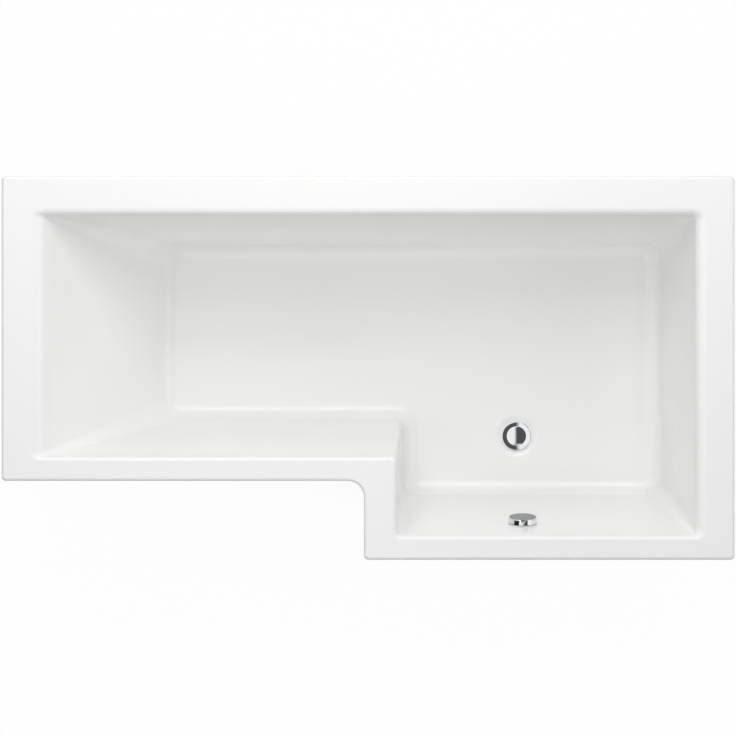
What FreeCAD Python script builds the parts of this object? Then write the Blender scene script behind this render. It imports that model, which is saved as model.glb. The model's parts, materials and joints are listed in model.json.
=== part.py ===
import FreeCAD, Part
import math
import os

from FreeCAD import Placement, Rotation, Vector

os.makedirs("parts", exist_ok=True)

# Acrylic shell: overall sizes, in millimetres
bath_length = 1700.0
shower_width = 890.0
shower_length = 859.5
step_depth = 183.0
rim_height = 560.0
floor_height = 150.0
shell_wall = 6.0
skirt_drop = 40.0
skirt_wall = 5.0

# Rim widths from the outer edge to the edge of the well
back_rim = 88.0
head_rim = 86.0
foot_rim = 86.0
front_rim = 55.0
step_rim = 76.0

# Slope of each wall of the well, in degrees from upright
backrest_draft = 33.8
foot_draft = 7.0
back_draft = 8.7
front_draft = 12.0
step_draft = 2.5

# Rounding of the shell
lip_radius = 12.0
back_lip_radius = 17.0
foot_lip_radius = 28.0
head_lip_radius = 46.0
rim_edge_radius = 8.0
corner_radius_lip = 8.0
corner_radius_floor = 50.0
head_corner_radius_floor = 62.0
inner_corner_radius = 14.0
cove_radius = 44.0
plan_corner_radius = 10.0
step_corner_radius = 11.0
hollow_corner_radius = 38.0

# Recess round the waste
dish_radius = 50.0
dish_slope_width = 8.0
dish_depth = 4.0
dish_edge_radius = 10.0

# Base board bonded under the floor
board_thickness = 18.0
board_inset = 42.0
board_corner_radius = 20.0
board_hole_gap = 8.0

# Support rails and levelling feet
rail_width = 40.0
rail_height = 28.0
rail_wall = 2.5
rail_inside_bend = 1.5
rail_overhang = 24.0
head_rail_from_board_end = 47.5
middle_rail_from_step = 37.5
shower_rail_from_foot = 250.0
foot_from_back = 100.0
foot_from_front = 82.0
stud_radius = 6.0
stud_rise = 39.0
stud_chamfer = 1.2
stud_hole_gap = 0.5
nut_sides = 6
nut_across_flats = 19.0
nut_height = 10.0
nut_thread_gap = 0.06
pad_radius = 28.0
pad_neck_radius = 13.0
pad_edge_height = 6.0
pad_height = 20.0
pad_floor = 5.0
rail_screw_radius = 2.1
rail_screw_length = 14.0
rail_screw_head_radius = 4.6
rail_screw_head_height = 3.0
rail_screw_hole_gap = 0.4
rail_screw_margin = 45.0

# Waste set in the shower floor
waste_from_foot = 486.0
waste_from_front = 278.0
flange_radius = 35.0
flange_thickness = 3.5
flange_edge_radius = 1.2
flange_dish_drop = 2.2
flange_shelf_drop = 2.4
gasket_thickness = 1.5
gasket_margin = 2.0
tail_radius = 22.0
tail_wall = 2.0
tail_length = 24.0
tail_shoulder_radius = 24.0
tail_shoulder_height = 5.5
tail_hole_gap = 0.5
guide_hub_radius = 7.5
guide_height = 6.0
guide_rise = 1.0
guide_spokes = 3
guide_spoke_width = 3.0
plug_radius = 23.5
plug_gap = 0.4
plug_edge_height = 1.9
plug_dome_height = 3.2
plug_seat_gap = 0.3
plug_boss_radius = 14.0
plug_seal_thickness = 3.0
plug_seal_gap = 0.5
stem_radius = 4.0
stem_guide_gap = 0.06
waste_wall = 3.0
waste_collar_radius = 42.0
waste_collar_height = 6.0
waste_neck_height = 14.0
bowl_radius = 28.0
bowl_drop = 46.0
bowl_cone_height = 6.0
bowl_cone_rise = 1.0
outlet_tail_radius = 20.0

# Lever that lifts the plug, and the cable end that pushes it
lift_arm = 16.0
push_arm = 14.0
lever_half_swing = 18.0
lever_width = 8.0
lever_hub_radius = 4.6
lever_nose_radius = 3.0
lever_arm_height = 4.0
lever_side_gap = 0.4
pivot_drop = 28.0
pin_radius = 2.0
pin_gap = 0.05
lug_width = 5.0
lug_half_height = 5.0
contact_gap = 0.3
core_end_radius = 2.6
core_end_length = 22.0
core_end_gap = 0.06
core_radius = 0.8
core_socket_gap = 0.3
core_socket_margin = 4.0
port_radius = 6.0
port_length = 18.0
gland_radius = 9.0
gland_length = 14.0
gland_cap = 4.0
sheath_radius = 2.5
sheath_insert = 3.0

# Trap and outlet
trap_radius = 38.0
trap_wall = 3.0
trap_bottom = 6.0
trap_height = 64.0
trap_edge_radius = 8.0
trap_dip_gap = 8.0
trap_collar_wall = 4.0
trap_collar_height = 10.0
trap_nut_wall = 5.0
trap_nut_gap = 0.5
trap_nut_lip = 4.0
plastic_nut_sides = 8
outlet_radius = 20.0
outlet_socket_radius = 22.0
outlet_wall = 2.5
outlet_axis_height = 46.0
outlet_stub_length = 24.0
outlet_nut_length = 20.0
outlet_nut_wall = 5.0
spigot_length = 60.0

# Overflow set on the front wall of the shower end
overflow_drop = 115.0
overflow_hole_radius = 26.0
overflow_gasket_thickness = 2.0
overflow_gasket_margin = 2.0
knob_radius = 35.0
knob_length = 12.5
knob_wall = 3.0
knob_skirt_wall = 4.5
knob_edge_radius = 1.6
knob_draft = 6.0
knob_hub_radius = 7.5
knob_hub_gap = 0.5
knob_wall_gap = 3.5
knob_turn = 90.0
notch_width = 13.6
notch_depth = 3.6
rosette_radius = 33.0
rosette_plate = 1.5
rosette_ring_wall = 3.0
rosette_ring_gap = 1.0
rosette_ring_height = 4.5
rosette_slots = 10
rosette_slot_width = 6.0
rosette_slot_height = 3.5
neck_radius = 24.0
neck_wall = 2.5
bridge_width = 12.0
bridge_start = 2.0
bridge_thickness = 4.0
overflow_collar_radius = 38.0
overflow_collar_height = 4.0
cup_radius = 28.0
cup_wall = 3.0
cup_depth = 34.0
screw_spread = 14.0
screw_radius = 2.0
screw_hole_gap = 0.2
screw_head_radius = 3.8
screw_head_height = 2.2
screw_length = 14.0
post_radius = 4.5
spindle_radius = 3.0
spindle_flat = 2.2
spindle_gap = 0.06
bush_radius = 6.0
bush_length = 6.0
drum_radius = 9.0
drum_width = 9.0
drum_side_gap = 0.5
drum_groove_width = 3.0
box_wall = 2.5
box_gap = 1.5
cover_thickness = 2.5
cable_boss_length = 14.0
cable_boss_wall = 2.2

# Ribbed overflow hose and its nuts
hose_radius = 14.0
hose_rib_depth = 2.2
hose_wall = 1.4
hose_rib_pitch = 10.0
hose_crest_share = 0.3
hose_valley_share = 0.3
hose_bend_radius = 72.0
hose_cuff_length = 28.0
hose_end_gap = 1.0
hose_spigot_wall = 2.0
hose_spigot_length = 20.0
hose_spigot_offset = 26.0
hose_inlet_drop = 30.0
hose_nut_wall = 3.0
hose_nut_length = 16.0

# Route of the control cable between the overflow and the waste
cable_turn_height = 160.0
cable_side_reach = 85.0
cable_front_reach = 118.0
cable_front_rise = 3.0
cable_bend_share = 0.45

# Frame: origin at floor level under the middle, shower end at +X, wall side at +Y
foot_x = bath_length / 2
head_x = -bath_length / 2
back_y = shower_width / 2
front_y = -shower_width / 2
bathing_y = front_y + step_depth
step_x = foot_x - shower_length
well_depth = rim_height - floor_height
floor_top = floor_height
floor_bottom = floor_top - shell_wall
skirt_low = rim_height - skirt_drop
up = Vector(0, 0, 1)

# Corners of the L shaped plan, counted from the front of the head end
head_front, inner_corner, step_front, foot_front, foot_back, head_back = range(6)

# How far a cutter runs past the face it opens, and how near two places count as one
overshoot = 1.0
touch = 1e-3


def flat_face(points):
    return Part.Face(Part.makePolygon(points + points[:1]))


def rounded_outline(corners, radii):
    """Closed wire through the corners of a plan, each rounded by its own radius."""
    arcs = []
    count = len(corners)
    for i, here in enumerate(corners):
        before = (corners[i - 1] - here).normalize()
        after = (corners[(i + 1) % count] - here).normalize()
        half = before.getAngle(after) / 2
        reach = radii[i] / math.tan(half)
        inward = (before + after).normalize()
        middle = here + inward * (radii[i] / math.sin(half) - radii[i])
        arcs.append((here + before * reach, middle, here + after * reach))
    edges = []
    for i, (start, middle, end) in enumerate(arcs):
        edges.append(Part.Arc(start, middle, end).toShape())
        edges.append(Part.LineSegment(end, arcs[(i + 1) % count][0]).toShape())
    return Part.Wire(edges)


def prism(wire, low, high):
    face = Part.Face(wire)
    face.translate(up * (low - wire.BoundBox.ZMin))
    return face.extrude(up * (high - low))


def turned(profile, centre=Vector(0, 0, 0)):
    """Solid turned about an upright axis from (radius, height) points, a pair of points being an arc."""
    def spot(point):
        return Vector(point[0], 0, point[1])
    edges = []
    here = spot(profile[0])
    for item in profile[1:] + profile[:1]:
        if isinstance(item[0], tuple):
            middle, end = spot(item[0]), spot(item[1])
            edges.append(Part.Arc(here, middle, end).toShape())
        else:
            end = spot(item)
            edges.append(Part.LineSegment(here, end).toShape())
        here = end
    solid = Part.Face(Part.Wire(edges)).revolve(Vector(0, 0, 0), up, 360)
    solid.translate(centre)
    return solid


def washer(outer, inner, low, high, centre=Vector(0, 0, 0)):
    return turned([(inner, low), (outer, low), (outer, high), (inner, high)], centre)


def rod(radius, start, end):
    return Part.makeCylinder(radius, (end - start).Length, start, end - start)


def bar(width, depth, height, low_middle):
    """Box standing on the middle of its lowest face."""
    corner = low_middle - Vector(width / 2, depth / 2, 0)
    return Part.makeBox(width, depth, height, corner)


def filleted(shape, edge_radii):
    """Fillet each listed edge from its first radius at one end to its second at the other."""
    document = FreeCAD.newDocument("rounding")
    base = document.addObject("Part::Feature", "base")
    base.Shape = shape
    feature = document.addObject("Part::Fillet", "fillet")
    feature.Base = base
    listed = []
    for edge, first, last in edge_radii:
        number = [other.isSame(edge) for other in shape.Edges].index(True) + 1
        listed.append((number, first, last))
    feature.Edges = listed
    document.recompute()
    result = feature.Shape.Solids[0].copy()
    FreeCAD.closeDocument(document.Name)
    return result


def round_circles(shape, radius, size, height):
    """Fillet the level circles of one size at one height."""
    def matches(edge):
        circle = isinstance(edge.Curve, Part.Circle)
        level = abs(edge.CenterOfMass.z - height) < touch
        return circle and level and abs(edge.Curve.Radius - size) < touch
    return shape.makeFillet(radius, [edge for edge in shape.Edges if matches(edge)])


def keep(name, shape):
    shape.exportStep("parts/" + name + ".step")


# Well of the shell: six sloping walls and a floor, rounded inside
def well_corners(depth, grow):
    """Plan corners of the well at a depth below the rim, grown outwards by a wall."""
    def shift(draft):
        slope = math.radians(draft)
        return depth * math.tan(slope) - grow / math.cos(slope)
    left = head_x + head_rim + shift(backrest_draft)
    step = step_x + step_rim + shift(step_draft)
    right = foot_x - foot_rim - shift(foot_draft)
    front = front_y + front_rim + shift(front_draft)
    bathing = bathing_y + front_rim + shift(front_draft)
    back = back_y - back_rim - shift(back_draft)
    plan = [(left, bathing), (step, bathing), (step, front), (right, front), (right, back), (left, back)]
    return [Vector(x, y, rim_height - depth) for x, y in plan]


def well_corner_radius(corner, depth, grow):
    at_floor = head_corner_radius_floor if corner in (head_front, head_back) else corner_radius_floor
    return corner_radius_lip + (at_floor - corner_radius_lip) * depth / well_depth + grow


def edge_ends(edge):
    return edge.valueAt(edge.FirstParameter), edge.valueAt(edge.LastParameter)


def corner_cone(top, bottom, corner, radius_top, radius_bottom):
    """Conical face that rounds one corner of the well, tangent to the two walls that meet there."""
    edge = bottom[corner] - top[corner]
    growth = (radius_bottom - radius_top) / edge.Length
    edge.normalize()
    across = []
    for neighbour in (top[corner - 1], top[(corner + 1) % len(top)]):
        side = neighbour - top[corner]
        across.append((side - edge * side.dot(edge)).normalize())
    half = across[0].getAngle(across[1]) / 2
    apex = top[corner] - edge * (radius_top / growth)
    spread = math.atan(growth / math.tan(half))
    contacts = [edge * math.cos(spread) + way * math.sin(spread) for way in across]
    opening = math.atan(math.sin(spread) * math.tan(half))
    inward = (across[1] - across[0] * across[0].dot(across[1])).normalize()
    axis = contacts[0] * math.cos(opening) + inward * math.sin(opening)
    reach = 2 * (bottom[corner] - apex).Length
    cone = Part.makeCone(0, reach * math.tan(opening), reach)
    cone.Placement = Placement(apex, Rotation(across[0] + across[1], Vector(), axis, "ZXY"))
    rings = []
    for level in (top[corner].z, bottom[corner].z):
        middle, first, last = [apex + way * ((level - apex.z) / way.z) for way in (axis, *contacts)]
        outer = [middle + (point - middle) * 2 for point in (first, first + last - middle, last)]
        rings.append([middle] + outer)
    faces = [flat_face(ring) for ring in rings]
    for i in range(len(rings[0])):
        faces.append(flat_face([rings[0][i - 1], rings[0][i], rings[1][i], rings[1][i - 1]]))
    sector = cone.common(Part.Solid(Part.Shell(faces)))
    return [face for face in sector.Faces if isinstance(face.Surface, Part.Cone)][0]


def level_edges(shape, level):
    return [edge for edge in shape.Edges if max(abs(end.z - level) for end in edge_ends(edge)) < touch]


def nearest_end(edge, place):
    return min(edge_ends(edge), key=lambda end: (end - place).Length)


def well_form(grow, top_depth):
    bottom_depth = well_depth + grow
    top = well_corners(top_depth, grow)
    bottom = well_corners(bottom_depth, grow)
    rings = (top, bottom)
    count = len(top)
    arcs = {}
    faces = []
    for i in range(count):
        if i == inner_corner:
            continue
        radii = [well_corner_radius(i, depth, grow) for depth in (top_depth, bottom_depth)]
        faces.append(corner_cone(top, bottom, i, *radii))
        arcs[i] = [level_edges(faces[-1], ring[0].z)[0] for ring in rings]
    outlines = [[arc[level] for arc in arcs.values()] for level in range(2)]
    for i in range(count):
        j = (i + 1) % count
        wall = []
        for level, ring in enumerate(rings):
            start = nearest_end(arcs[i][level], ring[j]) if i in arcs else ring[i]
            end = nearest_end(arcs[j][level], ring[i]) if j in arcs else ring[j]
            outlines[level].append(Part.LineSegment(start, end).toShape())
            wall.append((start, end))
        faces.append(flat_face([wall[0][0], wall[0][1], wall[1][1], wall[1][0]]))
    for outline in outlines:
        faces.append(Part.Face(Part.Wire(Part.sortEdges(outline)[0])))
    skin = Part.makeCompound(faces)
    skin.sewShape()
    block = Part.Solid(skin.Shells[0])
    inner_middle = (top[inner_corner] + bottom[inner_corner]) / 2
    inner_edges = [edge for edge in block.Edges if (edge.CenterOfMass - inner_middle).Length < touch]
    block = block.makeFillet(inner_corner_radius - grow, inner_edges)
    floor_edges = level_edges(block, rim_height - bottom_depth)
    return block.makeFillet(cove_radius + grow, floor_edges)


# Rim of the shell: a flat L with a skirt turned down round its edge
def rim_outline(inset):
    left, right = head_x + inset, foot_x - inset
    front, back = front_y + inset, back_y - inset
    bathing, step = bathing_y + inset, step_x + inset
    plan = [(left, bathing), (step, bathing), (step, front), (right, front), (right, back), (left, back)]
    radii = [plan_corner_radius - inset] * len(plan)
    radii[inner_corner] = hollow_corner_radius + inset
    radii[step_front] = step_corner_radius - inset
    return rounded_outline([Vector(x, y, 0) for x, y in plan], radii)


# Waste: its axis stands in the shower floor
waste_x = foot_x - waste_from_foot
waste_y = front_y + waste_from_front
dish_top = floor_top - dish_depth
dish_bottom = dish_top - shell_wall
tail_hole_radius = tail_shoulder_radius + tail_hole_gap


def on_waste(height):
    return Vector(waste_x, waste_y, height)


# Overflow: its own frame has +Z through the wall outwards, +Y up the wall
overflow_tilt = math.radians(front_draft)
overflow_y = front_y + front_rim + overflow_drop * math.tan(overflow_tilt)
overflow_place = Placement(
    Vector(waste_x, overflow_y, rim_height - overflow_drop), Rotation(Vector(1, 0, 0), 90 + front_draft))


def on_overflow(x, y, z):
    return overflow_place.multVec(Vector(x, y, z))


# Shell: each side of the well rolls into the rim at a lip of its own size, the wall kept even
def lip_size(place, ring):
    if abs(place.x - ring[head_front].x) < touch:
        return head_lip_radius
    if abs(place.x - ring[foot_front].x) < touch:
        return foot_lip_radius
    return back_lip_radius if abs(place.y - ring[head_back].y) < touch else lip_radius


def roll_lip(shell, ring, wall):
    """Round the shell along one outline of the well, by the size of each lip less a wall."""
    outline = Part.makePolygon(ring + ring[:1])
    lips = []
    for edge in level_edges(shell, ring[0].z):
        if edge.distToShape(outline)[0] < corner_radius_lip:
            first, last = [lip_size(end, ring) - wall for end in edge_ends(edge)]
            lips.append((edge, first, last))
    return filleted(shell, lips)


def bath_shell():
    rim = prism(rim_outline(0), skirt_low, rim_height)
    top_edges = [edge for edge in rim.Edges if edge.BoundBox.ZMin > rim_height - touch]
    rim = rim.makeFillet(rim_edge_radius, top_edges)
    rim = rim.cut(prism(rim_outline(skirt_wall), skirt_low - overshoot, rim_height - shell_wall))
    shell = rim.fuse(well_form(shell_wall, shell_wall / 2)).Solids[0]
    shell = roll_lip(shell, well_corners(shell_wall, shell_wall), shell_wall)
    boss_top = floor_bottom + shell_wall / 2
    boss = washer(dish_radius + shell_wall, tail_hole_radius / 2, dish_bottom, boss_top, on_waste(0))
    shell = shell.fuse(boss)
    shell = shell.cut(well_form(0, -skirt_drop)).Solids[0]
    shell = roll_lip(shell, well_corners(0, 0), 0)
    dish_low_radius = dish_radius - dish_slope_width
    dish = turned([(0, dish_top), (dish_low_radius, dish_top), (dish_radius, floor_top), (0, floor_top)])
    dish.translate(on_waste(0))
    shell = shell.cut(dish)
    shell = round_circles(shell, dish_edge_radius, dish_radius, floor_top)
    shell = round_circles(shell, dish_edge_radius, dish_low_radius, dish_top)
    shell = shell.cut(rod(tail_hole_radius, on_waste(dish_bottom - overshoot), on_waste(floor_top)))
    hole_start, hole_end = on_overflow(0, 0, -shell_wall), on_overflow(0, 0, 2 * shell_wall)
    return shell.cut(rod(overflow_hole_radius, hole_start, hole_end))


keep("bath_shell", bath_shell())


# Base board: chipboard bonded under the flat of the floor, open round the waste
board_top = floor_bottom
board_bottom = board_top - board_thickness
board_hole_radius = dish_radius + shell_wall + board_hole_gap


def board_corners():
    inward = [(1, 1), (1, 1), (1, 1), (-1, 1), (-1, -1), (1, -1)]
    plan = []
    for corner, (x_way, y_way) in zip(well_corners(well_depth, 0), inward):
        plan.append(Vector(corner.x + x_way * board_inset, corner.y + y_way * board_inset, board_bottom))
    return plan


# Rails: pressed steel channels across the board, each with a foot at both ends
bathing_foot_y = bathing_y + foot_from_front
shower_foot_y = front_y + foot_from_front
back_foot_y = back_y - foot_from_back
rail_web_bottom = board_bottom - rail_wall
board_head_x = board_corners()[head_front].x
rails = [
    ("head", board_head_x + head_rail_from_board_end, bathing_foot_y, board_corners()[head_front].y),
    ("middle", step_x + middle_rail_from_step, bathing_foot_y, board_corners()[head_front].y),
    ("shower", foot_x - shower_rail_from_foot, shower_foot_y, board_corners()[step_front].y)]
foot_places = []
rail_screw_places = []
for name, rail_x, front_foot_y, board_front in rails:
    foot_places += [(rail_x, front_foot_y), (rail_x, back_foot_y)]
    first_screw = board_front + rail_screw_margin
    last_screw = board_corners()[foot_back].y - rail_screw_margin
    for screw_y in (first_screw, (first_screw + last_screw) / 2, last_screw):
        rail_screw_places.append((rail_x, screw_y))


def base_board():
    corners = board_corners()
    board = prism(rounded_outline(corners, [board_corner_radius] * len(corners)), board_bottom, board_top)
    hole_low, hole_high = on_waste(board_bottom - overshoot), on_waste(board_top + overshoot)
    board = board.cut(rod(board_hole_radius, hole_low, hole_high))
    for x, y in rail_screw_places:
        tip = Vector(x, y, rail_web_bottom + rail_screw_length)
        board = board.cut(rod(rail_screw_radius, Vector(x, y, board_bottom - overshoot), tip))
    return board


def channel(width, height, length, bend, low_middle):
    block = bar(width, length, height, low_middle)
    upper = level_edges(block, low_middle.z + height)
    return block.makeFillet(bend, [edge for edge in upper if edge.BoundBox.XLength < touch])


def support_rail(rail_x, front_foot_y):
    length = back_foot_y - front_foot_y + 2 * rail_overhang
    low_middle = Vector(rail_x, (front_foot_y + back_foot_y) / 2, board_bottom - rail_height)
    rail = channel(rail_width, rail_height, length, rail_inside_bend + rail_wall, low_middle)
    inside_width = rail_width - 2 * rail_wall
    rail = rail.cut(channel(inside_width, rail_height - rail_wall, length, rail_inside_bend, low_middle))
    holes = [(rail_x, y, stud_radius + stud_hole_gap) for y in (front_foot_y, back_foot_y)]
    for x, y in rail_screw_places:
        if x == rail_x:
            holes.append((x, y, rail_screw_radius + rail_screw_hole_gap))
    for x, y, radius in holes:
        low, high = rail_web_bottom - overshoot, board_bottom + overshoot
        rail = rail.cut(rod(radius, Vector(x, y, low), Vector(x, y, high)))
    return rail


def rail_screw(x, y):
    head_low = rail_web_bottom - rail_screw_head_height
    head = rod(rail_screw_head_radius, Vector(x, y, head_low), Vector(x, y, rail_web_bottom))
    tip = Vector(x, y, rail_web_bottom + rail_screw_length)
    return head.fuse(rod(rail_screw_radius, Vector(x, y, rail_web_bottom), tip)).removeSplitter()


def flats_nut(sides, across_flats, length, bore):
    """Nut with flat sides on the XY plane, one pair of flats facing +Y and -Y."""
    corner_radius = across_flats / 2 / math.cos(math.pi / sides)
    points = []
    for i in range(sides):
        turn = (2 * i + 1) * math.pi / sides + math.pi / 2
        points.append(Vector(corner_radius * math.cos(turn), corner_radius * math.sin(turn), 0))
    return flat_face(points).extrude(up * length).cut(Part.makeCylinder(bore, length))


def foot_lock_nuts():
    nuts = []
    for x, y in foot_places:
        for low in (board_bottom, rail_web_bottom - nut_height):
            nut = flats_nut(nut_sides, nut_across_flats, nut_height, stud_radius + nut_thread_gap)
            nuts.append(nut.translate(Vector(x, y, low)))
    return Part.makeCompound(nuts)


def foot_stud(x, y):
    stud = rod(stud_radius, Vector(x, y, pad_floor), Vector(x, y, board_top + stud_rise))
    ends = [edge for edge in stud.Edges if isinstance(edge.Curve, Part.Circle)]
    return stud.makeChamfer(stud_chamfer, ends)


def foot_pad(x, y):
    shoulder = (pad_height + pad_edge_height) / 2
    socket = stud_radius
    profile = [
        (0, 0), (pad_radius, 0), (pad_radius, pad_edge_height), (pad_neck_radius, shoulder),
        (pad_neck_radius, pad_height), (socket, pad_height), (socket, pad_floor), (0, pad_floor)]
    return turned(profile, Vector(x, y, 0))


keep("base_board", base_board())
for name, rail_x, front_foot_y, board_front in rails:
    keep("support_rail_" + name, support_rail(rail_x, front_foot_y))
keep("rail_screws", Part.makeCompound([rail_screw(x, y) for x, y in rail_screw_places]))
keep("foot_lock_nuts", foot_lock_nuts())
for i, (x, y) in enumerate(foot_places):
    keep("foot_stud_%d" % (i + 1), foot_stud(x, y))
    keep("foot_pad_%d" % (i + 1), foot_pad(x, y))


# Waste: chrome flange and plug above the floor, moulded body below it
flange_low = dish_top + gasket_thickness
flange_top = flange_low + flange_thickness
flange_inner_radius = plug_radius + plug_gap
flange_inner_top = flange_top - flange_dish_drop
flange_shelf = flange_inner_top - flange_shelf_drop
tail_bore = tail_radius - tail_wall
tail_bottom = flange_low - tail_length
guide_low = tail_bottom + guide_rise
waste_top = dish_bottom - gasket_thickness
plug_low = flange_shelf + plug_seat_gap
plug_edge_top = plug_low + plug_edge_height

# Lever at rest hangs its lift arm under the stem; it swings as far again past level
swing = math.radians(lever_half_swing)
pivot_x = waste_x + lift_arm * (1 + math.cos(swing)) / 2
pivot_z = waste_top - pivot_drop
lift_nose = Vector(pivot_x - lift_arm * math.cos(swing), waste_y, pivot_z - lift_arm * math.sin(swing))
push_nose = Vector(pivot_x + push_arm * math.sin(swing), waste_y, pivot_z - push_arm * math.cos(swing))
core_travel = 2 * push_arm * math.sin(swing)
stem_bottom = lift_nose.z + lever_nose_radius + contact_gap
core_axis_z = pivot_z - push_arm * (1 + math.cos(swing)) / 2
core_end_near = push_nose.x + lever_nose_radius + contact_gap
core_end_far = core_end_near + core_end_length
bowl_outer_radius = bowl_radius + waste_wall
port_end = waste_x + bowl_outer_radius + port_length
sheath_end_x = port_end - sheath_insert
core_tip_x = core_end_far - core_travel - core_socket_margin


def on_core(x):
    return Vector(x, waste_y, core_axis_z)


def waste_flange():
    edge = flange_edge_radius * (1 - math.sqrt(0.5))
    shoulder_low = flange_low - tail_shoulder_height
    profile = [
        (tail_bore, tail_bottom), (tail_radius, tail_bottom), (tail_radius, shoulder_low),
        (tail_shoulder_radius, shoulder_low), (tail_shoulder_radius, flange_low),
        (flange_radius, flange_low), (flange_radius, flange_top - flange_edge_radius),
        ((flange_radius - edge, flange_top - edge), (flange_radius - flange_edge_radius, flange_top)),
        (flange_inner_radius, flange_inner_top), (flange_inner_radius, flange_shelf),
        (tail_bore, flange_shelf)]
    flange = turned(profile, on_waste(0))
    hub = washer(guide_hub_radius, stem_radius + stem_guide_gap, guide_low, guide_low + guide_height)
    spoke_start = (guide_hub_radius + stem_radius) / 2
    spoke_end = (tail_bore + tail_radius) / 2
    spoke_low = Vector((spoke_start + spoke_end) / 2, 0, guide_low)
    for i in range(guide_spokes):
        spoke = bar(spoke_end - spoke_start, guide_spoke_width, guide_height, spoke_low)
        hub = hub.fuse(spoke.rotate(Vector(0, 0, 0), up, 360 * i / guide_spokes))
    hub.translate(on_waste(0))
    return flange.fuse(hub).removeSplitter()


def plug():
    crown = plug_edge_top + plug_dome_height
    dome_radius = (plug_radius ** 2 + plug_dome_height ** 2) / (2 * plug_dome_height)
    half = math.asin(plug_radius / dome_radius) / 2
    dome_middle = (dome_radius * math.sin(half), crown - dome_radius * (1 - math.cos(half)))
    boss_low = plug_low - plug_seal_thickness
    profile = [
        (0, stem_bottom), (stem_radius, stem_bottom), (stem_radius, boss_low), (plug_boss_radius, boss_low),
        (plug_boss_radius, plug_low), (plug_radius, plug_low), (plug_radius, plug_edge_top),
        (dome_middle, (0, crown))]
    return turned(profile, on_waste(0))


def waste_body():
    bowl_low = waste_top - bowl_drop
    cone_low = bowl_low - bowl_cone_height
    neck_low = waste_top - waste_neck_height
    outlet_bore = outlet_tail_radius - waste_wall
    dip_low = trap_bottom + trap_wall + trap_dip_gap
    collar_low = waste_top - waste_collar_height
    profile = [
        (tail_radius, waste_top), (waste_collar_radius, waste_top), (waste_collar_radius, collar_low),
        (bowl_outer_radius, collar_low), (bowl_outer_radius, bowl_low - bowl_cone_rise),
        (outlet_tail_radius, cone_low - 2 * bowl_cone_rise), (outlet_tail_radius, dip_low),
        (outlet_bore, dip_low), (outlet_bore, cone_low), (bowl_radius, bowl_low),
        (bowl_radius, neck_low), (tail_radius, neck_low)]
    body = turned(profile, on_waste(0))
    hollow = rod(bowl_radius, on_waste(bowl_low), on_waste(neck_low))
    port = rod(port_radius, on_core(waste_x + bowl_radius / 2), on_core(port_end))
    inlet = rod(hose_bore, hose_inlet(0), hose_inlet(bowl_outer_radius + hose_spigot_length))
    fittings = port.fuse(inlet)
    for way in (-1, 1):
        lug_y = waste_y + way * (lever_width / 2 + lever_side_gap + lug_width / 2)
        lug_length = waste_x + bowl_radius + waste_wall / 2 - pivot_x + lug_half_height
        lug_middle = Vector(pivot_x - lug_half_height + lug_length / 2, lug_y, pivot_z - lug_half_height)
        lug = bar(lug_length, lug_width, 2 * lug_half_height, lug_middle)
        body = body.fuse(lug)
    body = body.fuse(fittings.cut(hollow))
    body = body.cut(rod(core_end_radius + core_end_gap, on_core(pivot_x), on_core(port_end)))
    inlet_bore = hose_bore - hose_spigot_wall
    body = body.cut(rod(inlet_bore, hose_inlet(bowl_radius / 2),
                        hose_inlet(bowl_outer_radius + hose_spigot_length)))
    pin_start, pin_end = pin_ends()
    return body.cut(rod(pin_radius, pin_start, pin_end)).removeSplitter()


def pin_ends():
    half = lever_width / 2 + lever_side_gap + lug_width
    return [Vector(pivot_x, waste_y + way * half, pivot_z) for way in (-1, 1)]


def lift_lever():
    pivot = Vector(pivot_x, waste_y, pivot_z)
    side = Vector(0, lever_width / 2, 0)
    lever = rod(lever_hub_radius, pivot - side, pivot + side)
    for nose in (lift_nose, push_nose):
        reach = (nose - pivot).Length
        arm = bar(reach, lever_width, lever_arm_height, Vector(reach / 2, 0, -lever_arm_height / 2))
        arm.Placement = Placement(pivot, Rotation(nose - pivot, Vector(0, 1, 0), Vector(), "XYZ"))
        lever = lever.fuse(arm).fuse(rod(lever_nose_radius, nose - side, nose + side))
    return lever.cut(rod(pin_radius + pin_gap, pivot - side, pivot + side)).removeSplitter()


def cable_core_end():
    end = rod(core_end_radius, on_core(core_end_near), on_core(core_end_far))
    socket_bottom = core_tip_x - contact_gap
    return end.cut(rod(core_radius + core_socket_gap, on_core(socket_bottom), on_core(core_end_far)))


def cable_gland():
    cap_end = port_end + gland_cap
    gland = rod(gland_radius, on_core(cap_end - gland_length), on_core(cap_end))
    gland = gland.cut(rod(port_radius, on_core(cap_end - gland_length), on_core(port_end)))
    return gland.cut(rod(sheath_radius, on_core(port_end), on_core(cap_end)))


# Trap: a cup round the dip tube of the waste body, with its outlet towards the wall
trap_top = trap_bottom + trap_height
outlet_bore_radius = outlet_radius - outlet_wall


def on_outlet(reach):
    return Vector(waste_x, waste_y + reach, outlet_axis_height)


outlet_stub_end = trap_radius + outlet_stub_length


def trap_body():
    collar_radius = outlet_tail_radius + trap_collar_wall
    inner_radius = trap_radius - trap_wall
    collar_top = trap_top + trap_collar_height
    floor = trap_bottom + trap_wall
    profile = [
        (0, trap_bottom), (trap_radius, trap_bottom), (trap_radius, trap_top), (collar_radius, trap_top),
        (collar_radius, collar_top), (outlet_tail_radius, collar_top),
        (outlet_tail_radius, trap_top - trap_wall), (inner_radius, trap_top - trap_wall),
        (inner_radius, floor), (0, floor)]
    cup = turned(profile, on_waste(0))
    cup = round_circles(cup, trap_edge_radius, trap_radius, trap_bottom)
    cup = round_circles(cup, trap_edge_radius - trap_wall, inner_radius, floor)
    stub = rod(outlet_socket_radius, on_outlet(trap_radius / 2), on_outlet(outlet_stub_end))
    cup = cup.fuse(stub.cut(rod(inner_radius, on_waste(floor), on_waste(trap_top))))
    return cup.cut(rod(outlet_bore_radius, on_outlet(trap_radius / 2), on_outlet(outlet_stub_end)))


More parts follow.
